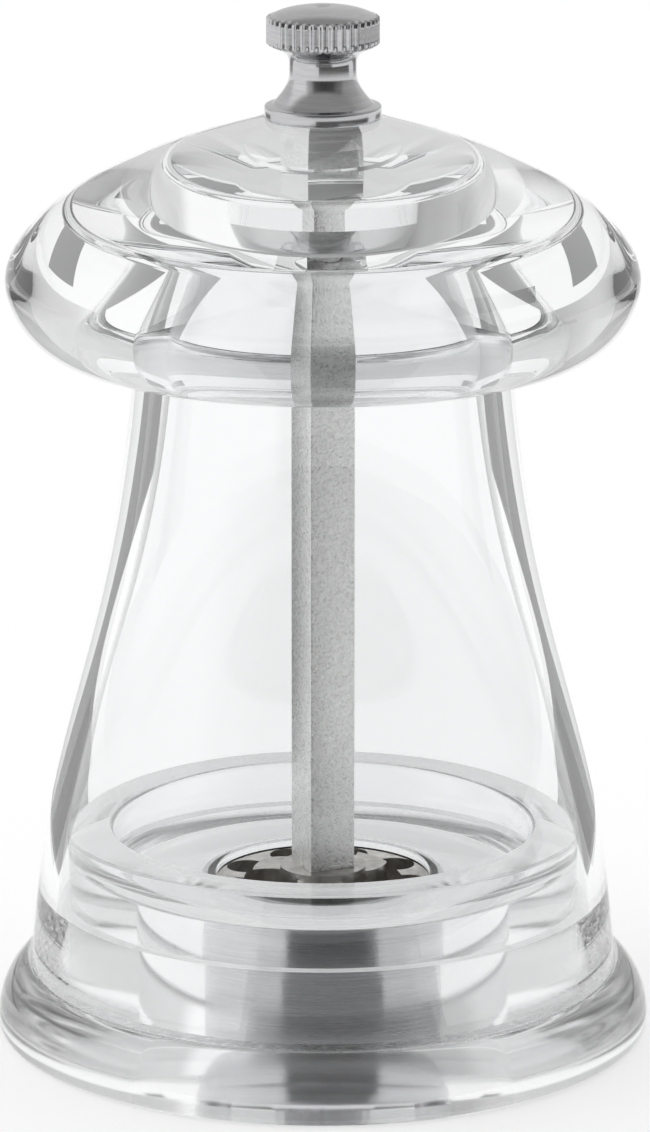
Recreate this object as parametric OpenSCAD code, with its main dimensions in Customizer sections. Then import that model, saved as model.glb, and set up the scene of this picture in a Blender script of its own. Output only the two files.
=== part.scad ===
// Clear acrylic pepper mill: a bell-shaped body glued on a flanged foot, a mushroom cap,
// a knurled thumb nut, a square spindle and a steel grinding cartridge inside the foot.
// Turning the cap turns the spindle and the rotor; the thumb nut sets the grind by raising
// or lowering the spindle. Millimetres, +Z up the axis, origin at the foot's underside.

/* [Bell body] */
// Outer radius of the bell at its lower edge
bell_r = 31.35; // [28:0.05:40]
// Height of the bell from its lower edge to the neck rim
bell_h = 79; // [64:0.5:110]
// Wall of the bell where the curved inside begins
bell_wall = 2.25; // [1.5:0.05:3]
// Outer radius of the neck
neck_r = 19.4; // [16:0.1:24]
// Wall of the neck
neck_wall = 3.3; // [2:0.1:4]
// Height of the straight part of the neck
neck_straight = 7.9; // [4:0.1:12]
// Wall of the bell around the socket for the plug
socket_wall = 3.05; // [2.5:0.05:4]
// Depth of the socket for the plug
socket_h = 7.8; // [6:0.1:10]

/* [Foot, plug and funnel] */
// How far the foot stands out past the bell's lower edge
foot_overhang = 3.55; // [2:0.05:6]
// Height of the foot flange
foot_h = 6.9; // [6:0.1:9]
// Width of the flat undercut at the foot's bottom edge
foot_undercut = 0.5; // [0.2:0.1:1]
// Height of the funnel rim above the funnel floor
funnel_h = 5.6; // [3:0.1:8]
// Width of the flat land on the funnel rim
rim_land = 4.7; // [2:0.1:7]
// Rounding at the foot of the funnel wall
funnel_round = 3.5; // [1:0.1:5]
// Rounding of the funnel wall's upper edge
rim_round = 0.5; // [0.2:0.1:0.8]
// Thickness of the shelf over the grinding cartridge
shelf_t = 1; // [0.8:0.1:3]
// How far the shelf covers the cartridge's top
shelf_cover = 1.6; // [0.8:0.1:2]
// Rounding of the throat's upper lip
lip_r = 0.4; // [0.3:0.1:0.8]
// How far the rotor hub stands above the funnel floor
hub_rise = 0.6; // [0:0.1:1]

/* [Cap] */
// Gap between the neck and the cap's skirt
skirt_gap = 5.6; // [2:0.1:8]
// Thickness of the skirt at its widest line
skirt_t = 8.2; // [6:0.1:12]
// Outward draft of the skirt's bore, from the ledge to the lower edge
skirt_draft = 0.5; // [0:0.1:1]
// Drop of the skirt below the ledge that rests on the neck
skirt_drop = 12.3; // [10:0.1:18]
// Drop of the widest line below the ledge
belly_drop = 4.6; // [3:0.1:7]
// Flat land on the skirt's lower edge
skirt_land = 0.6; // [0.3:0.1:2]
// Height of the round recess above the ledge
recess_h = 4; // [2:0.1:6]
// How far the recess stays inside the neck's outer wall
recess_inset = 4.1; // [3:0.1:6]
// Thickness of the crown over the recess
crown_t = 8.2; // [6:0.1:12]
// Radius of the shallow pocket around the square hole
pocket_r = 7; // [5:0.1:9]
// Depth of the shallow pocket
pocket_h = 0.4; // [0.2:0.1:1]

/* [Thumb nut] */
// Radius of the nut's flange
nut_r = 6.1; // [5:0.1:9]
// Height of the nut
nut_h = 11.8; // [10:0.1:16]
// Radius of the nut's waist
waist_r = 3.5; // [3.4:0.1:4.5]
// Radius of the fluted head
head_r = 5.9; // [4.8:0.1:8]
// Number of flutes around the head
flutes = 38; // [24:1:48]
// Depth of a flute
flute_d = 0.3; // [0.1:0.05:0.5]

/* [Spindle] */
// Width of the square spindle across its flats
spindle_w = 5.1; // [4:0.1:6.5]
// Width across flats of the reduced lower end
tail_w = 4.6; // [3.4:0.1:5]
// Radius of the threaded stud on top
stud_r = 2.5; // [1.5:0.1:3]
// Pitch of the stud's thread
pitch = 0.8; // [0.5:0.1:1]
// Turn of the square about the axis, in degrees
spindle_turn = 24.5; // [0:0.5:45]
// Travel of the spindle between the finest and the coarsest grind
travel = 1.6; // [0.8:0.1:2]

/* [Grinding cartridge] */
// Outer radius of the steel sleeve
sleeve_r = 13; // [11.5:0.1:16]
// Wall of the steel sleeve
sleeve_t = 0.6; // [0.4:0.1:1]
// Height of the sleeve
sleeve_h = 13.6; // [12:0.1:18]
// Wall of the stator ring at its wide lower end
stator_wall = 2.4; // [2.2:0.1:3]
// Height of the rotor's toothed cone
grind_h = 6.5; // [5:0.1:8]
// How much the toothed cone narrows from bottom to top
grind_taper = 2; // [1:0.1:3]
// Gap between the rotor and the stator at the finest grind
grind_gap = 0.35; // [0.2:0.05:0.6]
// Thickness of the bottom plate
plate_t = 1.2; // [0.8:0.1:2]
// Height of the bottom plate above the table
plate_z = 1; // [0.9:0.1:2]
// Radius of the bush that turns in the bottom plate
bush_r = 3.95; // [3.6:0.05:4.5]
// Radius of a plate screw's shank
screw_r = 0.75; // [0.5:0.05:0.8]
// Radius of the spring's wire
wire_r = 0.4; // [0.3:0.05:0.5]

/* [Hidden] */
$fn = 96;

// Clearances: parts that are fitted or glued, and parts that turn or slide
fit = 0.05;
run = 0.1;
eps = 0.01;

// Shape of the bell's S-curve: lean and length of the handles at its two ends
low_lean = 0.082;
low_handle = 0.464;
top_lean = 0.066;
top_handle = 0.52;
curve_steps = 14;

// Heights, from the table up
plate_top = plate_z + plate_t;
sleeve_top = plate_top + sleeve_h;
floor_z = sleeve_top + shelf_t;
rim_z = floor_z + funnel_h;
neck_top = foot_h + bell_h;
ledge_z = neck_top + run;
ceiling_z = ledge_z + recess_h;
seat_z = ceiling_z + crown_t;
belly_z = ledge_z - belly_drop;
skirt_z = ledge_z - skirt_drop;
top_z = seat_z + nut_h;

// Radii of the clear pieces
foot_r = bell_r + foot_overhang;
socket_r = bell_r - socket_wall;
shoulder_z = foot_h + socket_h;
throat_r = sleeve_r - shelf_cover;
skirt_bore_r = neck_r + skirt_gap;
cap_r = skirt_bore_r + skirt_t;
recess_r = neck_r - recess_inset;

// Radii of the cartridge
bore_r = sleeve_r + fit;
stator_r = sleeve_r - sleeve_t - fit;
rotor_r = stator_r - stator_wall - grind_gap;
rotor_neck_r = rotor_r - grind_taper;
feed_bore_r = rotor_neck_r + grind_gap + 0.5;
scallop_r = 2.2;
screw_pcd_r = (stator_r + rotor_r + grind_gap) / 2 + 0.1;
window_r = rotor_r - 0.1;

// Heights of the moving stack
rotor_z = plate_top + travel + 0.2;
rotor_top = floor_z + hub_rise;
grind_top = rotor_z + grind_h;
tail_z = travel + 0.6;
bush_z = 0.3;
bush_top = tail_z + travel;
clip_t = 0.6;
clip_z = bush_top + travel + 0.3;
spring_plate_z = clip_z + clip_t;
spring_plate_t = 0.7;
spring_z = spring_plate_z + spring_plate_t;
hollow_top = grind_top + run;
hollow_r = rotor_neck_r - 1;
hub_r = rotor_neck_r - 3;
square_top = seat_z - 1.3;
stud_top = top_z - 2.8;
washer_t = 0.3;
bush_flange_z = plate_top + washer_t;
bush_flange_r = bush_r + 0.75;

// Cubic curve between a and d with the handles b and c
function curve(a, b, c, d, steps) =
  [for (i = [0 : steps]) let (t = i / steps, u = 1 - t)
    u * u * u * a + 3 * u * u * t * b + 3 * u * t * t * c + t * t * t * d];

// The bell's S-curve from radius lower at the foot to radius upper at the neck
function bell_curve(lower, upper) =
  let (z0 = foot_h, z1 = neck_top - neck_straight, h = z1 - z0)
  curve([lower, z0], [lower - low_lean * low_handle * h, z0 + low_handle * h],
        [upper + top_lean * top_handle * h, z1 - top_handle * h], [upper, z1], curve_steps);

// Radius at height z along a list of [radius, height] points
function radius_at(points, z) = lookup(z, [for (p = points) [p[1], p[0]]]);

inner_curve = bell_curve(bell_r - bell_wall, neck_r - neck_wall);
plug_top_r = radius_at(inner_curve, rim_z) - 0.15;
funnel_r = plug_top_r - rim_land;

// Quarter of a circle of radius r about [x, z], from angle a0 to a1
function arc(x, z, r, a0, a1, steps) =
  [for (i = [0 : steps]) let (a = a0 + (a1 - a0) * i / steps) [x + r * cos(a), z + r * sin(a)]];

module turned(points) {
  rotate_extrude() polygon(points);
}

// A square prism across flats w between two heights, turned with the spindle
module square_bar(w, z0, z1) {
  rotate([0, 0, spindle_turn]) translate([-w / 2, -w / 2, z0]) cube([w, w, z1 - z0]);
}

module ring(r_in, r_out, z0, z1) {
  difference() {
    translate([0, 0, z0]) cylinder(r = r_out, h = z1 - z0);
    translate([0, 0, z0 - 1]) cylinder(r = r_in, h = z1 - z0 + 2);
  }
}

module bell_body() {
  outside = bell_curve(bell_r, neck_r);
  inside = [for (p = inner_curve) if (p[1] > shoulder_z + 0.5) p];
  lip = 0.5;
  color([0.93, 0.95, 0.96, 0.35])
    turned(concat(
      outside,
      [[neck_r, neck_top - lip], [neck_r - lip, neck_top]],
      [[neck_r - neck_wall + lip, neck_top], [neck_r - neck_wall, neck_top - lip]],
      [for (i = [len(inside) - 1 : -1 : 0]) inside[i]],
      [[radius_at(inner_curve, shoulder_z), shoulder_z], [socket_r, shoulder_z]],
      [[socket_r, foot_h]]));
}

module base_foot() {
  round_h = foot_h - 0.7;
  spigot_r = socket_r - fit;
  color([0.93, 0.95, 0.96, 0.35])
    turned(concat(
      [[bore_r, 0], [foot_r - foot_undercut, 0], [foot_r, 0.7]],
      curve([foot_r, 0.7], [foot_r, 0.7 + round_h * 0.55],
            [bell_r + 1.6, foot_h - 0.2], [bell_r + 0.1, foot_h], 8),
      [[spigot_r, foot_h], [spigot_r, shoulder_z - run], [plug_top_r, shoulder_z - run]],
      [[plug_top_r, rim_z]],
      arc(funnel_r + rim_round, rim_z - rim_round, rim_round, 90, 180, 4),
      arc(funnel_r - funnel_round, floor_z + funnel_round, funnel_round, 0, -90, 8),
      arc(throat_r + lip_r, floor_z - lip_r, lip_r, 90, 180, 4),
      [[throat_r, sleeve_top], [bore_r, sleeve_top]]));
}

module mill_sleeve() {
  color([0.75, 0.75, 0.76]) ring(sleeve_r - sleeve_t, sleeve_r, plate_top, sleeve_top);
}

module stator_ring() {
  cone_r = rotor_r + grind_gap;
  slope = grind_taper / grind_h;
  scallops = 9;
  grooves = 30;
  groove_w = 0.9;
  color([0.42, 0.41, 0.40])
    difference() {
      turned([[stator_r, plate_top], [stator_r, sleeve_top], [feed_bore_r, sleeve_top],
              [feed_bore_r, grind_top + 0.4], [cone_r - grind_taper, grind_top],
              [cone_r + slope * (rotor_z - plate_top), plate_top]]);
      for (i = [0 : scallops - 1])
        rotate([0, 0, 33 + i * 360 / scallops]) translate([throat_r - scallop_r, 0, grind_top + 1])
          cylinder(r = scallop_r, h = sleeve_h, $fn = 32);
      for (i = [0 : grooves - 1])
        rotate([0, 0, i * 360 / grooves]) translate([cone_r - grind_taper / 2, 0, rotor_z + grind_h / 2])
          rotate([-18, -atan(slope), 0]) rotate([0, 0, 45])
            cube([groove_w, groove_w, grind_h - 1], center = true);
      for (i = [0 : 2])
        rotate([0, 0, 90 + i * 120]) translate([screw_pcd_r, 0, plate_top - 1])
          cylinder(r = screw_r + fit, h = 5.2, $fn = 24);
    }
}

module bottom_plate() {
  bridge_w = 2 * bush_flange_r;
  color([0.62, 0.62, 0.63])
    difference() {
      translate([0, 0, plate_z]) cylinder(r = sleeve_r, h = plate_t);
      difference() {
        translate([0, 0, plate_z - 1]) cylinder(r = window_r, h = plate_t + 2);
        translate([-bridge_w / 2, -sleeve_r, plate_z - 2]) cube([bridge_w, 2 * sleeve_r, plate_t + 4]);
      }
      translate([0, 0, plate_z - 1]) cylinder(r = bush_r + fit, h = plate_t + 2);
      for (i = [0 : 2])
        rotate([0, 0, 90 + i * 120]) translate([screw_pcd_r, 0, plate_z - 1])
          cylinder(r = screw_r + fit, h = plate_t + 2, $fn = 24);
    }
}

module plate_screw(i) {
  head_r = screw_r + 0.6;
  head_h = 0.6;
  shank_h = plate_t + 3.6;
  color([0.7, 0.7, 0.72])
    rotate([0, 0, 90 + i * 120]) translate([screw_pcd_r, 0, plate_z])
      difference() {
        union() {
          translate([0, 0, -head_h]) cylinder(r = head_r, h = head_h, $fn = 32);
          cylinder(r = screw_r, h = shank_h, $fn = 24);
        }
        translate([-head_r, -0.2, -head_h - eps]) cube([2 * head_r, 0.4, 0.3 + eps]);
      }
}

module thrust_washer() {
  color([0.78, 0.66, 0.38]) ring(bush_r + 2 * fit, bush_flange_r, plate_top, bush_flange_z);
}

module lower_bush() {
  groove_r = bush_r - 0.45;
  color([0.80, 0.67, 0.36])
    difference() {
      union() {
        translate([0, 0, bush_z]) cylinder(r = bush_r, h = bush_top - bush_z);
        translate([0, 0, bush_flange_z]) cylinder(r = bush_flange_r, h = 0.7);
      }
      ring(groove_r, bush_r + 1, plate_z - 0.6, plate_z - 0.05);
      square_bar(tail_w + 2 * fit, bush_z - 1, bush_top + 1);
    }
}

module bush_clip() {
  color([0.35, 0.35, 0.37])
    difference() {
      ring(bush_r - 0.4, bush_r + 0.9, plate_z - 0.55, plate_z - 0.1);
      translate([0, -0.8, 0]) cube([bush_r + 2, 1.6, plate_z]);
    }
}

module spindle() {
  groove_r = tail_w / 2 - 0.1;
  thread_d = 0.35;
  color([0.68, 0.68, 0.66])
    difference() {
      union() {
        square_bar(tail_w, tail_z, rotor_top + 1);
        square_bar(spindle_w, rotor_top, square_top);
        translate([0, 0, square_top - 1]) cylinder(r = stud_r, h = stud_top - square_top + 1, $fn = 48);
      }
      ring(groove_r, tail_w, clip_z - 0.05, clip_z + clip_t + 0.05);
      for (z = [square_top + pitch : pitch : stud_top - pitch])
        translate([0, 0, z]) rotate_extrude($fn = 48)
          polygon([[stud_r + 0.1, -pitch * 0.4], [stud_r + 0.1, pitch * 0.4], [stud_r - thread_d, 0]]);
    }
}

// One crescent-shaped feed lobe, drawn in plan and extruded
module feed_lobe() {
  tip_r = rotor_neck_r - 0.1;
  linear_extrude(height = rotor_top - 0.7 - grind_top + eps)
    intersection() {
      circle(r = tip_r);
      difference() {
        translate([hub_r - 0.4, 0]) circle(r = tip_r - hub_r + 1.6, $fn = 48);
        translate([hub_r + 0.7, 4.1]) circle(r = tip_r - hub_r + 1.2, $fn = 48);
      }
    }
}

module rotor() {
  teeth = 18;
  groove_w = 1.3;
  color([0.52, 0.50, 0.47])
    difference() {
      union() {
        translate([0, 0, rotor_z]) cylinder(r1 = rotor_r, r2 = rotor_neck_r, h = grind_h);
        translate([0, 0, grind_top - eps]) cylinder(r = hub_r, h = rotor_top - grind_top + eps);
        for (i = [0 : 2])
          rotate([0, 0, 175 + i * 120]) translate([0, 0, grind_top - eps]) feed_lobe();
      }
      for (i = [0 : teeth - 1])
        rotate([0, 0, i * 360 / teeth])
          translate([rotor_r - grind_taper / 2, 0, rotor_z + grind_h / 2])
            rotate([22, -atan(grind_taper / grind_h), 0]) rotate([0, 0, 45])
              cube([groove_w, groove_w, grind_h * 1.6], center = true);
      translate([0, 0, rotor_z - eps]) cylinder(r = hollow_r, h = hollow_top - rotor_z);
      square_bar(tail_w + 2 * fit, rotor_z - 1, rotor_top + 1);
    }
}

// Coil spring: a tube of sides points swept along a helix
module rotor_spring() {
  coil_r = (tail_w / 2) * sqrt(2) + wire_r + 0.35;
  turns = 3;
  per_turn = 20;
  sides = 8;
  n = turns * per_turn;
  z0 = spring_z + wire_r + 0.02;
  rise = hollow_top - wire_r - 0.05 - z0;
  points = [for (i = [0 : n], j = [0 : sides - 1])
    let (a = 360 * i / per_turn, b = 360 * j / sides, r = coil_r + wire_r * cos(b))
    [r * cos(a), r * sin(a), z0 + rise * i / n + wire_r * sin(b)]];
  walls = [for (i = [0 : n - 1], j = [0 : sides - 1])
    let (k = (j + 1) % sides)
    [i * sides + j, i * sides + k, (i + 1) * sides + k, (i + 1) * sides + j]];
  ends = [[for (j = [sides - 1 : -1 : 0]) j], [for (j = [0 : sides - 1]) n * sides + j]];
  color([0.60, 0.61, 0.63]) polyhedron(points, concat(walls, ends));
}

module spring_washer() {
  color([0.66, 0.66, 0.67])
    difference() {
      translate([0, 0, spring_plate_z]) cylinder(r = hollow_r - 0.6, h = spring_plate_t);
      square_bar(tail_w + 2 * fit, spring_plate_z - 1, spring_z + 1);
    }
}

module spindle_clip() {
  color([0.35, 0.35, 0.37])
    difference() {
      ring(tail_w / 2 - 0.08, hollow_r - 2, clip_z, clip_z + clip_t);
      translate([0, -1.2, clip_z - 1]) cube([hollow_r, 2.4, clip_t + 2]);
    }
}

module cap() {
  power = 2 / 1.8;
  land_r = skirt_bore_r + skirt_draft + skirt_land;
  seat_r = nut_r + 0.4;
  crown_h = seat_z - belly_z;
  crown_w = cap_r - seat_r;
  crown = curve([seat_r, seat_z], [seat_r + 0.94 * crown_w, seat_z - 0.42 * crown_h],
                [cap_r, belly_z + 0.115 * crown_h], [cap_r, belly_z], 16);
  belly = [for (a = [10 : 10 : 90])
    [land_r + (cap_r - land_r) * pow(cos(a), power),
     belly_z - (belly_z - skirt_z) * pow(sin(a), power)]];
  color([0.93, 0.95, 0.96, 0.35])
    difference() {
      turned(concat(
        [[0, seat_z]], crown, belly,
        [[skirt_bore_r + skirt_draft, skirt_z]],
        arc(skirt_bore_r - 1, ledge_z - 1, 1, 0, 90, 4),
        [[recess_r, ledge_z]],
        arc(recess_r - 1, ceiling_z - 1, 1, 0, 90, 4),
        [[pocket_r, ceiling_z], [pocket_r, ceiling_z + pocket_h], [0, ceiling_z + pocket_h]]));
      square_bar(spindle_w + 2 * run, ceiling_z - 1, seat_z + 1);
    }
}

module thumb_nut() {
  edge = 0.3;
  flange_t = 1.5;
  waist_z = seat_z + 4.7;
  head_z = top_z - 4;
  head_h = 3;
  color([0.80, 0.80, 0.81])
    difference() {
      turned(concat(
        [[0, seat_z + fit], [nut_r - edge, seat_z + fit], [nut_r, seat_z + fit + edge]],
        [[nut_r, seat_z + flange_t - edge], [nut_r - edge, seat_z + flange_t]],
        curve([nut_r - 0.8, seat_z + flange_t + 0.1], [waist_r + 0.9, seat_z + flange_t + 1],
              [waist_r, waist_z - 1], [waist_r, waist_z], 6),
        curve([waist_r, head_z - 1.9], [waist_r, head_z - 0.6],
              [head_r - 1.2, head_z - 0.5], [head_r - 0.3, head_z], 6),
        [[head_r, head_z + 0.2], [head_r, head_z + head_h - 0.2], [head_r - 0.3, head_z + head_h]],
        curve([head_r - 0.4, head_z + head_h], [head_r - 1.6, top_z - 0.3],
              [2.4, top_z], [0.9, top_z], 6),
        [[0, top_z - 0.25]]));
      for (i = [0 : flutes - 1])
        rotate([0, 0, i * 360 / flutes]) translate([head_r + 0.15, 0, head_z - 0.4])
          cylinder(r = flute_d + 0.15, h = head_h + 1.2, $fn = 16);
      translate([0, 0, seat_z - 1]) cylinder(r = stud_r + fit, h = stud_top + 0.6 - seat_z + 1, $fn = 48);
    }
}

bell_body();
base_foot();
mill_sleeve();
stator_ring();
bottom_plate();
plate_screw(0);  // plate_screw_1
plate_screw(1);  // plate_screw_2
plate_screw(2);  // plate_screw_3
thrust_washer();
lower_bush();
bush_clip();
spindle();
rotor();
rotor_spring();
spring_washer();
spindle_clip();
cap();
thumb_nut();
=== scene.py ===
"""Looks of the clear acrylic pepper mill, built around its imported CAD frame. Metres, +Z up."""
from math import cos, pi, radians, sin

import bpy
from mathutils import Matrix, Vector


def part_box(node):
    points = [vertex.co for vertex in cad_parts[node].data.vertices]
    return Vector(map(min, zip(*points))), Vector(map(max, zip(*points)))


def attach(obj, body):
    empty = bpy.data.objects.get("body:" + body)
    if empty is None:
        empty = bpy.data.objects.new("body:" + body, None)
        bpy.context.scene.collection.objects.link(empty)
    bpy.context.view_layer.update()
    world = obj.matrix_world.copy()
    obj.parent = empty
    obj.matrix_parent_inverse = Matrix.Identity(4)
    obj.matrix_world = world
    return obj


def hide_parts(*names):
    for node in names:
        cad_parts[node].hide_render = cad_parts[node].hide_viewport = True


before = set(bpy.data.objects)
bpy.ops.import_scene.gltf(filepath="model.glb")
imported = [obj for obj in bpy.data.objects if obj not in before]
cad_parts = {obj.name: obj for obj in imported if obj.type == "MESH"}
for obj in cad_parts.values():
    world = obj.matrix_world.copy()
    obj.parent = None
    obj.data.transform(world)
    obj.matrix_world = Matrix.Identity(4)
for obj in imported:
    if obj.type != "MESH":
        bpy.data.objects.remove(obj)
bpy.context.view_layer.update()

MM = 0.001

# ---------------------------------------------------------------- places and sizes
# Heights come from the frame, and radii that a box doesn't give are named here, in metres.
TOP_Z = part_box("thumb_nut")[1].z
SEAT_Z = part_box("cap")[1].z
SKIRT_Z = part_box("cap")[0].z
CAP_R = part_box("cap")[1].x
NECK_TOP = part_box("bell_body")[1].z
FOOT_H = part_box("bell_body")[0].z
FOOT_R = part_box("base_foot")[1].x
RIM_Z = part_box("base_foot")[1].z
SLEEVE_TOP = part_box("mill_sleeve")[1].z
SLEEVE_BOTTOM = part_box("mill_sleeve")[0].z
SLEEVE_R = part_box("mill_sleeve")[1].x
ROTOR_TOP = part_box("rotor")[1].z
TAIL_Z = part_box("spindle")[0].z
STUD_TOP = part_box("spindle")[1].z

BELL_R = 31.35 * MM
BELL_WALL = 2.25 * MM
NECK_R = 19.4 * MM
NECK_WALL = 3.3 * MM
NECK_STRAIGHT = 7.9 * MM
SOCKET_R = 28.3 * MM
SHOULDER_Z = 14.7 * MM
FUNNEL_H = 5.6 * MM
FUNNEL_ROUND = 3.5 * MM
RIM_LAND = 4.7 * MM
THROAT_R = 11.4 * MM
LIP_R = 0.4 * MM
LEDGE_Z = 86.0 * MM
BELLY_Z = 81.4 * MM
CEILING_Z = 90.0 * MM
SKIRT_BORE_R = 25.0 * MM
SKIRT_DRAFT = 0.5 * MM
RECESS_R = 15.3 * MM
POCKET_R = 7.0 * MM
POCKET_H = 0.4 * MM
SEAT_R = 6.5 * MM
SPINDLE_W = 5.1 * MM
TAIL_W = 4.6 * MM
STUD_R = 2.5 * MM
SQUARE_TOP = SEAT_Z - 1.3 * MM
SPINDLE_TURN = radians(24.5)
SLEEVE_T = 0.6 * MM
FIT = 0.05 * MM
SKIN = 0.02 * MM

SEGMENTS = 192


# ---------------------------------------------------------------- mesh helpers
def curve_points(a, b, c, d, steps):
    """Points along the cubic curve from a to d with the handles b and c."""
    found = []
    for i in range(steps + 1):
        t = i / steps
        u = 1 - t
        weights = (u * u * u, 3 * u * u * t, 3 * u * t * t, t * t * t)
        found.append(tuple(sum(w * p[k] for w, p in zip(weights, (a, b, c, d))) for k in (0, 1)))
    return found


def arc_points(x, z, r, start, end, steps):
    """Points on the circle of radius r about (x, z), from one angle to another in degrees."""
    angles = [radians(start + (end - start) * i / steps) for i in range(steps + 1)]
    return [(x + r * cos(a), z + r * sin(a)) for a in angles]


def new_object(name, verts, faces, materials, body, face_material=None):
    """A mesh object that rides on a body and takes its finish from a material slot."""
    mesh = bpy.data.meshes.new(name)
    mesh.from_pydata(verts, [], faces)
    mesh.validate()
    mesh.update()
    obj = bpy.data.objects.new(name, mesh)
    bpy.context.scene.collection.objects.link(obj)
    for material in materials:
        mesh.materials.append(material)
    if face_material:
        for polygon in mesh.polygons:
            polygon.material_index = face_material(polygon)
    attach(obj, body)
    return obj


def smooth_by_angle(obj, degrees):
    """Smooth shading, with edges kept sharp where faces meet at more than the angle."""
    bpy.context.view_layer.objects.active = obj
    obj.select_set(True)
    bpy.ops.object.shade_smooth_by_angle(angle=radians(degrees))
    obj.select_set(False)


def lathe(outline, segments=SEGMENTS, turn=0.0, radius_of=None):
    """Vertices and faces of a closed outline of (r, z) points turned about the axis.

    radius_of(index, angle, r) may replace the radius of outline point index at an angle.
    """
    n = len(outline)
    verts = []
    for s in range(segments):
        angle = 2 * pi * s / segments
        for i, (r, z) in enumerate(outline):
            rr = radius_of(i, angle, r) if radius_of else r
            verts.append((rr * cos(angle + turn), rr * sin(angle + turn), z))
    faces = []
    for s in range(segments):
        t = (s + 1) % segments
        for i in range(n):
            j = (i + 1) % n
            faces.append((s * n + i, t * n + i, t * n + j, s * n + j))
    return verts, faces


# ---------------------------------------------------------------- materials
def node_material(name):
    """A material with a Principled shader, and a function that adds and links nodes."""
    material = bpy.data.materials.new(name)
    material.use_nodes = True
    nodes = material.node_tree.nodes
    shader = nodes["Principled BSDF"]

    def add(kind, **inputs):
        node = nodes.new(kind)
        for key, value in inputs.items():
            node.inputs[key].default_value = value
        return node

    return material, shader, add, material.node_tree.links.new


def map_range(add, link, source, low, high):
    """Maps a 0 to 1 value to the range low to high."""
    node = add("ShaderNodeMapRange")
    node.inputs["To Min"].default_value = low
    node.inputs["To Max"].default_value = high
    link(source, node.inputs["Value"])
    return node.outputs["Result"]


def stretched(add, link, scale):
    """Object coordinates stretched by a scale on each axis."""
    place = add("ShaderNodeTexCoord")
    mapping = add("ShaderNodeMapping", Scale=scale)
    link(place.outputs["Object"], mapping.inputs["Vector"])
    return mapping.outputs["Vector"]


def acrylic_material(name, rough_low, rough_high, bump, bump_scale):
    """Clear cast acrylic, with a faint unevenness in its polish."""
    material, shader, add, link = node_material(name)
    shader.inputs["Base Color"].default_value = (0.975, 0.98, 0.983, 1)
    shader.inputs["Transmission Weight"].default_value = 1.0
    shader.inputs["IOR"].default_value = 1.49
    place = stretched(add, link, (1, 1, 1))
    noise = add("ShaderNodeTexNoise", Scale=bump_scale, Detail=3.0)
    link(place, noise.inputs["Vector"])
    link(map_range(add, link, noise.outputs["Fac"], rough_low, rough_high), shader.inputs["Roughness"])
    bumps = add("ShaderNodeBump", Strength=bump, Distance=0.0002)
    link(noise.outputs["Fac"], bumps.inputs["Height"])
    link(bumps.outputs["Normal"], shader.inputs["Normal"])
    return material


def metal_material(name, dark, light, rough, grain_scale, bump, anisotropy=0.0):
    """Metal whose colour, roughness and surface vary with a stretched grain."""
    material, shader, add, link = node_material(name)
    shader.inputs["Metallic"].default_value = 1.0
    shader.inputs["Anisotropic"].default_value = anisotropy
    shader.inputs["Anisotropic Rotation"].default_value = 0.25
    noise = add("ShaderNodeTexNoise", Scale=1.0, Detail=6.0, Roughness=0.65)
    link(stretched(add, link, grain_scale), noise.inputs["Vector"])
    ramp = add("ShaderNodeValToRGB")
    ramp.color_ramp.elements[0].position = 0.3
    ramp.color_ramp.elements[1].position = 0.7
    ramp.color_ramp.elements[0].color = (*dark, 1)
    ramp.color_ramp.elements[1].color = (*light, 1)
    link(noise.outputs["Fac"], ramp.inputs["Fac"])
    link(ramp.outputs["Color"], shader.inputs["Base Color"])
    link(map_range(add, link, noise.outputs["Fac"], *rough), shader.inputs["Roughness"])
    bumps = add("ShaderNodeBump", Strength=bump, Distance=0.0001)
    link(noise.outputs["Fac"], bumps.inputs["Height"])
    link(bumps.outputs["Normal"], shader.inputs["Normal"])
    return material


ACRYLIC = acrylic_material("clear_acrylic", 0.0, 0.01, 0.02, 40.0)
TURNED = acrylic_material("turned_acrylic", 0.03, 0.09, 0.03, 60.0)
JOINT = acrylic_material("cemented_acrylic", 0.15, 0.45, 0.8, 900.0)
POLISHED = metal_material("polished_steel", (0.50, 0.50, 0.51), (0.62, 0.62, 0.63),
                          (0.08, 0.20), (200, 200, 2500), 0.03)
BRUSHED = metal_material("brushed_sleeve", (0.66, 0.66, 0.67), (0.84, 0.84, 0.85),
                         (0.20, 0.32), (60, 60, 9000), 0.08, 0.8)
SPINDLE_METAL = metal_material("spindle_metal", (0.66, 0.66, 0.65), (0.97, 0.97, 0.96),
                               (0.20, 0.36), (2600, 2600, 2600), 0.50)
CAST = metal_material("grinder_cast", (0.46, 0.44, 0.41), (0.95, 0.93, 0.89),
                      (0.18, 0.45), (420, 420, 420), 0.9)
STEEL = metal_material("small_steel", (0.50, 0.50, 0.52), (0.68, 0.68, 0.70),
                       (0.20, 0.35), (900, 900, 900), 0.15)
DARK_STEEL = metal_material("bush_steel", (0.10, 0.10, 0.10), (0.24, 0.24, 0.25),
                            (0.25, 0.40), (700, 700, 3000), 0.10)


# ---------------------------------------------------------------- clear pieces
def bell_curve(lower, upper, steps):
    """The bell's S-curve from radius lower at the foot to radius upper at the neck."""
    lean_low, share_low, lean_top, share_top = 0.082, 0.464, 0.066, 0.52
    z1 = NECK_TOP - NECK_STRAIGHT
    h = z1 - FOOT_H
    return curve_points((lower, FOOT_H),
                        (lower - lean_low * share_low * h, FOOT_H + share_low * h),
                        (upper + lean_top * share_top * h, z1 - share_top * h),
                        (upper, z1), steps)


def radius_at(points, z):
    """Radius at height z along a list of rising (r, z) points."""
    for (r0, z0), (r1, z1) in zip(points, points[1:]):
        if z0 <= z <= z1:
            return r0 + (r1 - r0) * (z - z0) / (z1 - z0)
    return points[-1][0]


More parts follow.
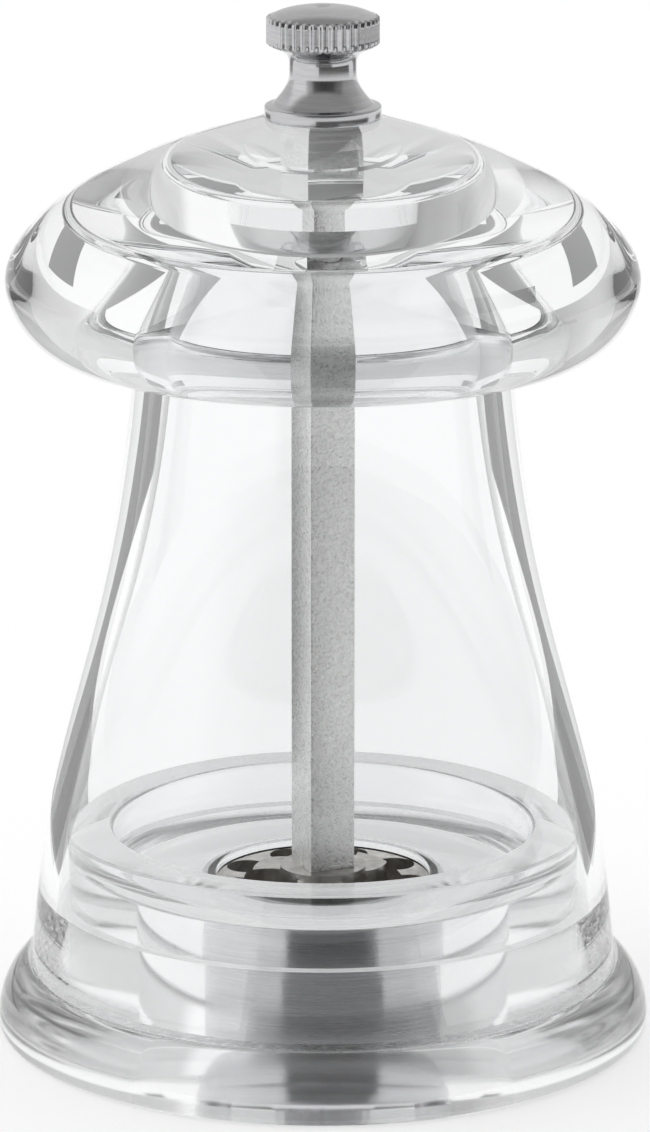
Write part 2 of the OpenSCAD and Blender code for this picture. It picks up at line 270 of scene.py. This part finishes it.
def make_bell():
    """The bell, with its underside as the cemented joint."""
    lip = 0.5 * MM
    soft = 0.15 * MM
    joint_band = 0.1 * MM
    outside = bell_curve(BELL_R, NECK_R, 64)
    inside = bell_curve(BELL_R - BELL_WALL, NECK_R - NECK_WALL, 64)
    bottom = FOOT_H + SKIN
    outline = [(BELL_R - soft, bottom), (BELL_R, bottom + soft)]
    outline += [p for p in outside if p[1] > bottom + 2 * soft]
    outline += arc_points(NECK_R - lip, NECK_TOP - lip, lip, 0, 90, 4)
    outline += arc_points(NECK_R - NECK_WALL + lip, NECK_TOP - lip, lip, 90, 180, 4)
    outline += [p for p in reversed(inside) if p[1] > SHOULDER_Z + soft]
    outline += [(radius_at(inside, SHOULDER_Z), SHOULDER_Z), (SOCKET_R, SHOULDER_Z)]
    outline += [(SOCKET_R, bottom)]
    verts, faces = lathe(outline)
    bell = new_object("bell", verts, faces, [ACRYLIC, JOINT], "housing",
                      lambda p: 1 if p.center.z < FOOT_H + joint_band else 0)
    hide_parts("bell_body")
    smooth_by_angle(bell, 25)
    return bell


def make_base():
    """The foot flange and the plug above it, which is bored for the cartridge and funnelled."""
    bore = SLEEVE_R + FIT
    spigot = SOCKET_R - FIT
    edge = 0.3 * MM
    rim_round = 0.5 * MM
    plug_gap = 0.15 * MM
    floor = RIM_Z - FUNNEL_H
    shoulder = SHOULDER_Z - 0.1 * MM
    top_r = radius_at(bell_curve(BELL_R - BELL_WALL, NECK_R - NECK_WALL, 64), RIM_Z) - plug_gap
    funnel_r = top_r - RIM_LAND
    undercut = 0.5 * MM
    foot_round = 0.1 * MM
    foot_rise = 0.3 * MM
    turn_z = 0.7 * MM
    round_h = FOOT_H - turn_z
    flare_share = 0.55
    flare_reach = 1.6 * MM
    flare_drop = 0.2 * MM
    flare_end = 0.1 * MM
    joint_band = 0.01 * MM
    outline = [(bore, 0), (FOOT_R - undercut, 0)]
    outline += curve_points((FOOT_R - undercut, 0), (FOOT_R - foot_round, foot_round),
                            (FOOT_R, foot_rise), (FOOT_R, turn_z), 5)[1:]
    outline += curve_points((FOOT_R, turn_z), (FOOT_R, turn_z + round_h * flare_share),
                            (BELL_R + flare_reach, FOOT_H - flare_drop),
                            (BELL_R + flare_end, FOOT_H), 24)[1:]
    outline += [(spigot, FOOT_H), (spigot, shoulder)]
    outline += [(top_r, shoulder)]
    outline += arc_points(top_r - edge, RIM_Z - edge, edge, 0, 90, 4)
    outline += arc_points(funnel_r + rim_round, RIM_Z - rim_round, rim_round, 90, 180, 8)
    outline += arc_points(funnel_r - FUNNEL_ROUND, floor + FUNNEL_ROUND, FUNNEL_ROUND, 0, -90, 24)
    outline += arc_points(THROAT_R + LIP_R, floor - LIP_R, LIP_R, 90, 180, 6)
    outline += [(THROAT_R, SLEEVE_TOP), (bore, SLEEVE_TOP)]
    verts, faces = lathe(outline)
    base = new_object("base", verts, faces, [TURNED, JOINT], "housing",
                      lambda p: 1 if abs(p.center.z - FOOT_H) < joint_band else 0)
    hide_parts("base_foot")
    smooth_by_angle(base, 25)
    return base


def make_cap():
    """The mushroom cap: a crown, a belly that turns under, and a stepped cavity."""
    power = 2 / 1.8
    hole_gap = 0.1 * MM
    skirt_land = 0.6 * MM
    round_r = MM
    belly_steps = 24
    shoulder_out, shoulder_down, belly_up = 0.94, 0.42, 0.115
    land = SKIRT_BORE_R + SKIRT_DRAFT + skirt_land
    crown_h = SEAT_Z - BELLY_Z
    crown_w = CAP_R - SEAT_R
    hole = SPINDLE_W / 2 + hole_gap
    outline = [(hole, SEAT_Z)]
    outline += curve_points((SEAT_R, SEAT_Z),
                            (SEAT_R + shoulder_out * crown_w, SEAT_Z - shoulder_down * crown_h),
                            (CAP_R, BELLY_Z + belly_up * crown_h), (CAP_R, BELLY_Z), 64)
    for i in range(1, belly_steps + 1):
        a = radians(90 * i / belly_steps)
        outline.append((land + (CAP_R - land) * max(cos(a), 0) ** power,
                        BELLY_Z - (BELLY_Z - SKIRT_Z) * sin(a) ** power))
    outline += [(SKIRT_BORE_R + SKIRT_DRAFT, SKIRT_Z)]
    outline += arc_points(SKIRT_BORE_R - round_r, LEDGE_Z - round_r, round_r, 0, 90, 8)
    outline += [(RECESS_R, LEDGE_Z)]
    outline += arc_points(RECESS_R - round_r, CEILING_Z - round_r, round_r, 0, 90, 8)
    outline += [(POCKET_R, CEILING_Z), (POCKET_R, CEILING_Z + POCKET_H)]
    outline += [(hole, CEILING_Z + POCKET_H)]
    outline.reverse()
    last = len(outline) - 1

    def radius_of(i, angle, r):
        """Makes the hole square by pushing its edge out towards the corners."""
        if i in (0, last):
            return r / max(abs(cos(angle)), abs(sin(angle)))
        return r

    verts, faces = lathe(outline, turn=SPINDLE_TURN, radius_of=radius_of)
    cap = new_object("cap_clear", verts, faces, [ACRYLIC], "head")
    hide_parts("cap")
    smooth_by_angle(cap, 20)
    return cap


# ---------------------------------------------------------------- metal pieces
def make_nut():
    """The thumb nut: a flange, a waist and a fluted head over the stud."""
    flutes = 38
    per_flute = 10
    flute_depth = 0.32 * MM
    flute_runout = 0.12 * MM
    flange_t = 1.5 * MM
    flange_edge = 0.25 * MM
    nut_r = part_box("thumb_nut")[1].x
    head_r = 5.9 * MM
    waist_r = 3.5 * MM
    z = SEAT_Z + FIT
    waist_z = SEAT_Z + 4.7 * MM
    head_z = TOP_Z - 4 * MM
    head_top = TOP_Z - MM
    bore = STUD_R + FIT
    bore_top = STUD_TOP + 0.6 * MM
    centre = 0.01 * MM
    outline = [(bore, z)]
    outline += arc_points(nut_r - flange_edge, z + flange_edge, flange_edge, -90, 0, 4)
    outline += arc_points(nut_r - flange_edge, SEAT_Z + flange_t - flange_edge, flange_edge, 0, 90, 4)
    outline += curve_points((nut_r - 0.8 * MM, SEAT_Z + flange_t + 0.1 * MM),
                            (waist_r + 0.9 * MM, SEAT_Z + flange_t + MM),
                            (waist_r, waist_z - MM), (waist_r, waist_z), 16)
    outline += curve_points((waist_r, head_z - 1.9 * MM), (waist_r, head_z - 0.6 * MM),
                            (head_r - 1.2 * MM, head_z - 0.5 * MM), (head_r - 0.3 * MM, head_z), 14)
    first_fluted = len(outline)
    outline += [(head_r, head_z + 0.2 * MM), (head_r, head_z + 0.7 * MM), (head_r, head_z + 1.5 * MM),
                (head_r, head_z + 2.3 * MM), (head_r, head_top - 0.2 * MM),
                (head_r - 0.15 * MM, head_top - 0.05 * MM)]
    last_fluted = len(outline) - 1
    outline += curve_points((head_r - 0.4 * MM, head_top), (head_r - 1.6 * MM, TOP_Z - 0.3 * MM),
                            (2.4 * MM, TOP_Z), (0.9 * MM, TOP_Z), 10)
    outline += [(0.5 * MM, TOP_Z - 0.12 * MM), (centre, TOP_Z - 0.2 * MM)]
    outline += [(centre, bore_top), (bore, bore_top)]

    def radius_of(i, angle, r):
        """Cuts the flutes into the head, and lets them run out below it."""
        if first_fluted <= i <= last_fluted:
            ridge = (0.5 - 0.5 * cos(flutes * angle)) ** 1.5
            return r - flute_depth * (1 - ridge)
        if i == first_fluted - 1:
            return r - flute_runout * (0.5 + 0.5 * cos(flutes * angle))
        return r

    verts, faces = lathe(outline, segments=flutes * per_flute, radius_of=radius_of)
    nut = new_object("nut_polished", verts, faces, [POLISHED], "nut")
    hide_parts("thumb_nut")
    smooth_by_angle(nut, 35)
    return nut


def rounded_square(w, corner, steps):
    """Outline of a square across flats w with rounded corners."""
    h = w / 2 - corner
    points = []
    for k, (sx, sy) in enumerate(((1, 1), (-1, 1), (-1, -1), (1, -1))):
        for i in range(steps + 1):
            a = radians(90 * k + 90 * i / steps)
            points.append((sx * h + corner * cos(a), sy * h + corner * sin(a)))
    return points


def make_spindle():
    """Square bar with softly broken edges, a reduced tail and a threaded stud."""
    corner = 0.14 * MM
    steps = 4
    ring = 4 * (steps + 1)
    pitch = 0.8 * MM
    root_r = STUD_R - 0.35 * MM
    step_soft = 0.05 * MM
    end_break = 0.15 * MM
    sections = []

    def square(z, w):
        points = rounded_square(w, corner, steps)
        sections.append([(x * cos(SPINDLE_TURN) - y * sin(SPINDLE_TURN),
                          x * sin(SPINDLE_TURN) + y * cos(SPINDLE_TURN), z) for x, y in points])

    def circle(z, r):
        turns = [2 * pi * (i - steps / 2) / ring + pi / 4 + SPINDLE_TURN for i in range(ring)]
        sections.append([(r * cos(a), r * sin(a), z) for a in turns])

    square(TAIL_Z, TAIL_W - 2 * end_break)
    square(TAIL_Z + end_break, TAIL_W)
    square(ROTOR_TOP - step_soft, TAIL_W)
    square(ROTOR_TOP, TAIL_W)
    square(ROTOR_TOP, SPINDLE_W - 2 * step_soft)
    rise = 40
    for i in range(rise + 1):
        square(ROTOR_TOP + step_soft + (SQUARE_TOP - ROTOR_TOP - 2 * step_soft) * i / rise, SPINDLE_W)
    square(SQUARE_TOP, SPINDLE_W - 2 * step_soft)
    circle(SQUARE_TOP, STUD_R - 0.3 * MM)
    z = SQUARE_TOP + pitch / 2
    while z < STUD_TOP - pitch:
        circle(z, root_r)
        circle(z + 0.3 * pitch, STUD_R)
        circle(z + 0.5 * pitch, STUD_R)
        circle(z + 0.8 * pitch, root_r)
        z += pitch
    circle(STUD_TOP - 0.3 * MM, root_r)
    circle(STUD_TOP, STUD_R - 0.6 * MM)
    verts = [p for section in sections for p in section]
    faces = []
    for k in range(len(sections) - 1):
        for i in range(ring):
            j = (i + 1) % ring
            faces.append((k * ring + i, k * ring + j, (k + 1) * ring + j, (k + 1) * ring + i))
    faces.append(tuple(reversed(range(ring))))
    faces.append(tuple(range(len(verts) - ring, len(verts))))
    spindle = new_object("spindle_bar", verts, faces, [SPINDLE_METAL], "spindle_set")
    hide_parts("spindle")
    smooth_by_angle(spindle, 30)
    return spindle


def make_sleeve():
    """The brushed sleeve of the grinding cartridge, a tube with broken edges."""
    edge = 0.15 * MM
    inner = SLEEVE_R - SLEEVE_T
    outline = arc_points(SLEEVE_R - edge, SLEEVE_BOTTOM + edge, edge, -90, 0, 3)
    outline += arc_points(SLEEVE_R - edge, SLEEVE_TOP - edge - SKIN, edge, 0, 90, 3)
    outline += [(inner, SLEEVE_TOP - SKIN), (inner, SLEEVE_BOTTOM)]
    verts, faces = lathe(outline)
    sleeve = new_object("sleeve", verts, faces, [BRUSHED], "housing")
    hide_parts("mill_sleeve")
    smooth_by_angle(sleeve, 40)
    return sleeve


def dress_cad_nodes():
    """Gives the CAD nodes that stay visible their materials."""
    looks = {"stator_ring": CAST, "rotor": CAST, "bottom_plate": BRUSHED, "plate_screw_1": STEEL,
             "plate_screw_2": STEEL, "plate_screw_3": STEEL, "thrust_washer": DARK_STEEL,
             "lower_bush": DARK_STEEL, "bush_clip": STEEL, "rotor_spring": STEEL,
             "spring_washer": STEEL, "spindle_clip": STEEL}
    for node, material in looks.items():
        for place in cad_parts[node].material_slots:
            place.material = material


make_bell()
make_base()
make_cap()
make_nut()
make_spindle()
make_sleeve()
dress_cad_nodes()


# ---------------------------------------------------------------- studio
# Brightness of the tent by direction, in degrees from the viewer's, to the right being positive.
TENT_AROUND = ((-180, 0.80), (-125, 0.85), (-105, 1.2), (-66, 1.2), (-48, 0.60), (-25, 0.13),
               (0, 0.08), (30, 0.10), (57, 0.26), (80, 0.50), (115, 0.60), (145, 0.80))
# How far the ceiling takes over from the sides, by the height of the direction.
TENT_UP = ((-1.0, 0.0), (0.62, 0.0), (0.80, 1.0))
CEILING_LIGHT = 0.45
TENT_LIGHT = 0.85


def floor_card(name, near, far, left, right, grey):
    """A grey card on the table, seen only in gloss and glass.

    It reaches from near to far of the mill, between two angles in degrees from the viewer.
    """
    steps = 8
    lift = 0.3 * MM
    turns = [radians(left + (right - left) * i / steps) for i in range(steps + 1)]
    verts = [(d * sin(a), -d * cos(a), lift) for a in turns for d in (near, far)]
    faces = [(2 * i, 2 * i + 1, 2 * i + 3, 2 * i + 2) for i in range(steps)]
    mesh = bpy.data.meshes.new(name)
    mesh.from_pydata(verts, [], faces)
    obj = bpy.data.objects.new(name, mesh)
    bpy.context.scene.collection.objects.link(obj)
    material, shader, _, _ = node_material(name)
    shader.inputs["Base Color"].default_value = (grey, grey, grey, 1)
    shader.inputs["Roughness"].default_value = 1.0
    shader.inputs["Specular IOR Level"].default_value = 0.0
    mesh.materials.append(material)
    obj.visible_camera = False
    obj.visible_diffuse = False
    obj.visible_shadow = False
    return obj


def make_floor():
    """A pale floor that also glows a little, so that the mill casts almost no shadow on it."""
    half = 4.0
    corners = [(-half, -half, 0), (half, -half, 0), (half, half, 0), (-half, half, 0)]
    mesh = bpy.data.meshes.new("floor")
    mesh.from_pydata(corners, [], [(0, 1, 2, 3)])
    floor = bpy.data.objects.new("floor", mesh)
    floor.location.z = -0.2 * MM
    bpy.context.scene.collection.objects.link(floor)
    material, shader, add, link = node_material("pale_floor")
    shader.inputs["Roughness"].default_value = 0.9
    shader.inputs["Specular IOR Level"].default_value = 0.1
    noise = add("ShaderNodeTexNoise", Scale=3.0, Detail=2.0)
    link(stretched(add, link, (1, 1, 1)), noise.inputs["Vector"])
    ramp = add("ShaderNodeValToRGB")
    ramp.color_ramp.elements[0].color = (0.93, 0.93, 0.93, 1)
    ramp.color_ramp.elements[1].color = (0.96, 0.96, 0.96, 1)
    link(noise.outputs["Fac"], ramp.inputs["Fac"])
    link(ramp.outputs["Color"], shader.inputs["Base Color"])
    link(ramp.outputs["Color"], shader.inputs["Emission Color"])
    shader.inputs["Emission Strength"].default_value = 0.6
    mesh.materials.append(material)


def make_world():
    """A white tent that is open, and dark, towards the viewer and dimmer on the right."""
    world = bpy.data.worlds.new("studio")
    world.use_nodes = True
    nodes = world.node_tree.nodes
    link = world.node_tree.links.new
    background = nodes["Background"]

    def math(operation, a, b):
        node = nodes.new("ShaderNodeMath")
        node.operation = operation
        for socket, value in zip(node.inputs, (a, b)):
            if isinstance(value, (int, float)):
                socket.default_value = value
            else:
                link(value, socket)
        return node.outputs[0]

    def ramp(value, stops, low, high):
        node = nodes.new("ShaderNodeValToRGB")
        node.color_ramp.interpolation = "EASE"
        while len(node.color_ramp.elements) < len(stops):
            node.color_ramp.elements.new(0.5)
        for element, (at, light) in zip(node.color_ramp.elements, stops):
            element.position = (at - low) / (high - low)
            element.color = (light, light, light, 1)
        link(math("DIVIDE", math("SUBTRACT", value, low), high - low), node.inputs["Fac"])
        return node.outputs["Color"]

    place = nodes.new("ShaderNodeTexCoord")
    split = nodes.new("ShaderNodeSeparateXYZ")
    link(place.outputs["Generated"], split.inputs["Vector"])
    x, y, z = split.outputs
    turn = math("MULTIPLY", math("ARCTAN2", x, math("MULTIPLY", y, -1)), 180 / pi)
    around = ramp(turn, TENT_AROUND, -180, 180)
    up = ramp(z, TENT_UP, -1, 1)
    sides = math("MULTIPLY", around, math("SUBTRACT", 1, up))
    light = math("ADD", sides, math("MULTIPLY", up, CEILING_LIGHT))
    link(math("MULTIPLY", light, TENT_LIGHT), background.inputs["Strength"])
    background.inputs["Color"].default_value = (1, 1, 1, 1)
    bpy.context.scene.world = world


def make_camera():
    """Looks down 14.95 degrees, from 0.61 m in front and 0.21 m above the table."""
    camera = bpy.data.cameras.new("camera")
    camera.sensor_fit = "AUTO"
    camera.sensor_width = 36.0
    camera.lens = 190.33
    camera.shift_x = 0.0018
    camera.clip_start = 0.05
    obj = bpy.data.objects.new("camera", camera)
    obj.location = (0, -0.6118, 0.21356)
    obj.rotation_euler = (pi / 2 - 0.261, 0, 0)
    bpy.context.scene.collection.objects.link(obj)
    bpy.context.scene.camera = obj


make_floor()
make_world()
make_camera()
# Near and far in metres, left and right in degrees, and the grey of the card.
floor_card("card_front", 0.036, 0.11, -24, 36, 0.04)
floor_card("card_middle", 0.11, 0.32, -24, 32, 0.50)
floor_card("card_far", 0.32, 0.60, -14, 100, 0.20)
floor_card("card_back_left", 0.10, 0.6, -152, -126, 0.66)
floor_card("card_back_right", 0.10, 0.6, 126, 152, 0.66)

scene = bpy.context.scene
scene.view_settings.view_transform = "Standard"
scene.cycles.max_bounces = 32
scene.cycles.transmission_bounces = 28
scene.cycles.glossy_bounces = 12
scene.cycles.transparent_max_bounces = 16
